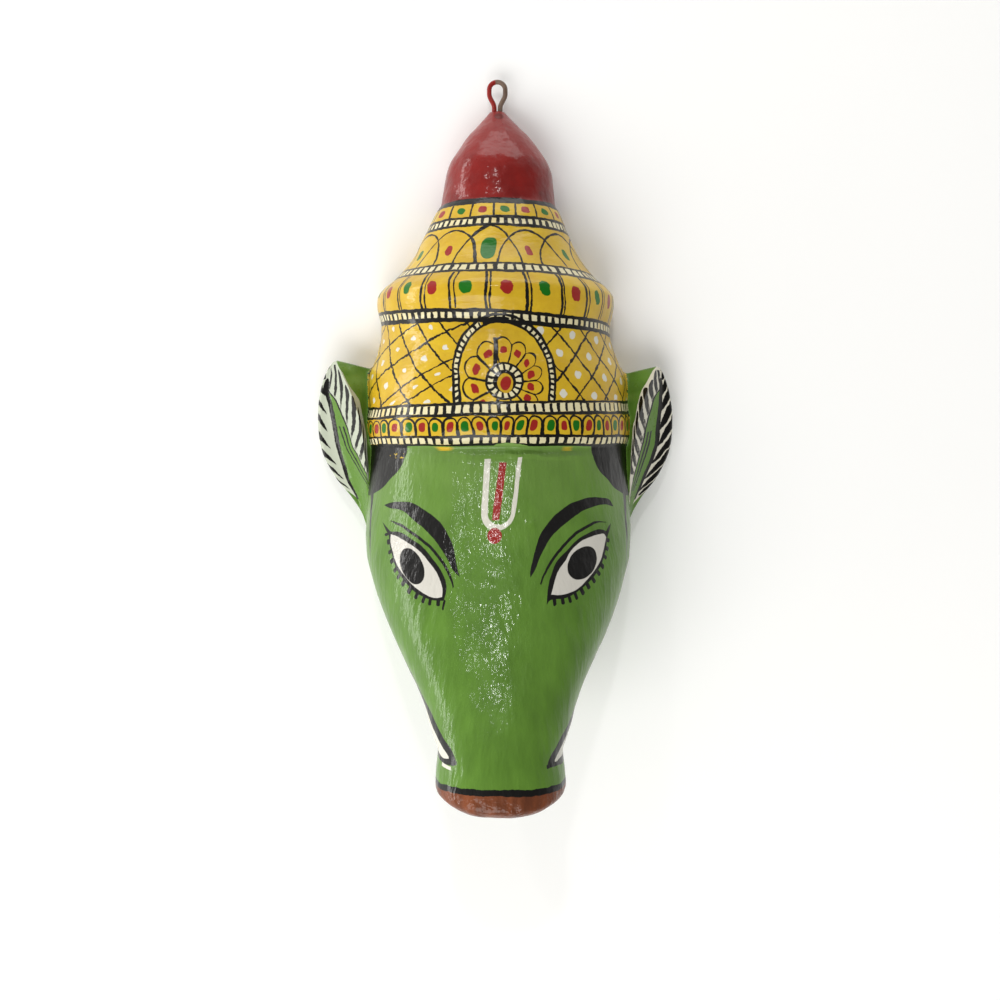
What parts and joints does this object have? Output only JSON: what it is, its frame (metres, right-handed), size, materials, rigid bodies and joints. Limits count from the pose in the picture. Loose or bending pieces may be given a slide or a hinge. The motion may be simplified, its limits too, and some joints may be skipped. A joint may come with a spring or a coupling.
{
  "type": "animal-headed wall mask",
  "caption": "Hollow papier-mache wall mask of a crowned, tusked animal head with a long muzzle, leaf-shaped ears and a tall banded crown, hung by a wire loop in its tip.",
  "frame": {"origin": "on the plane of the open back's rim, in the middle of the whole length and width", "axes": "the mask lies on its back: +Z out of its face, +Y from the snout to the crown's tip and hanging loop, X its width"},
  "size_m": [0.1396, 0.2674, 0.097],
  "materials": {
    "painted_paper": "papier-mache in glossy enamel paint, bare brown paper inside",
    "wire": "dull wire, dipped in red paint at one side"
  },
  "bodies": {
    "root": {"mask": "painted_paper", "hanging_loop": "wire"}
  },
  "joints": []
}
